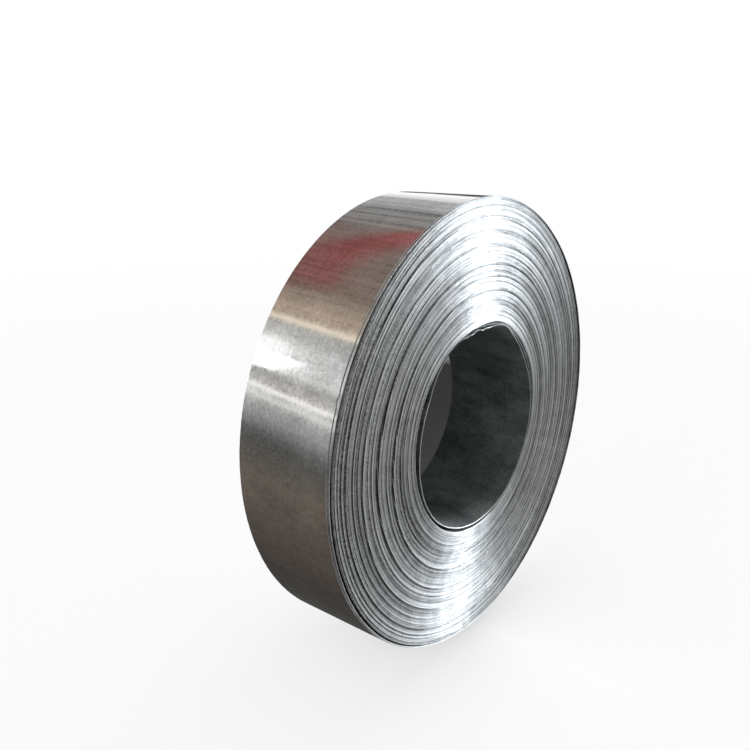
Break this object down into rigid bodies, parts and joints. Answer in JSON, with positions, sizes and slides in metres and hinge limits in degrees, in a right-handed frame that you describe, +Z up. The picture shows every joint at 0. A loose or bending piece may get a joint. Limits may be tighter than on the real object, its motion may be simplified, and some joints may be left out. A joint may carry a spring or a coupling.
{
  "type": "steel coil",
  "caption": "Narrow coil of galvanised steel strip wound lap on lap round an open bore, lying on its outer lap with its axis level.",
  "frame": {"origin": "on the floor, under the middle of the coil: the middle of the bottom of the object's box", "axes": "the coil's axis runs along Y, level, and the end that the picture shows faces -Y; +Z is up, with the coil lying on its outer lap; X runs across the coil"},
  "size_m": [1.0794, 0.25, 1.0794],
  "materials": {
    "galvanised_steel": "galvanised, with rolling streaks on the outer lap and the bare slit edges of the laps on both ends"
  },
  "bodies": {
    "root": {"steel_coil": "galvanised_steel"}
  },
  "joints": []
}
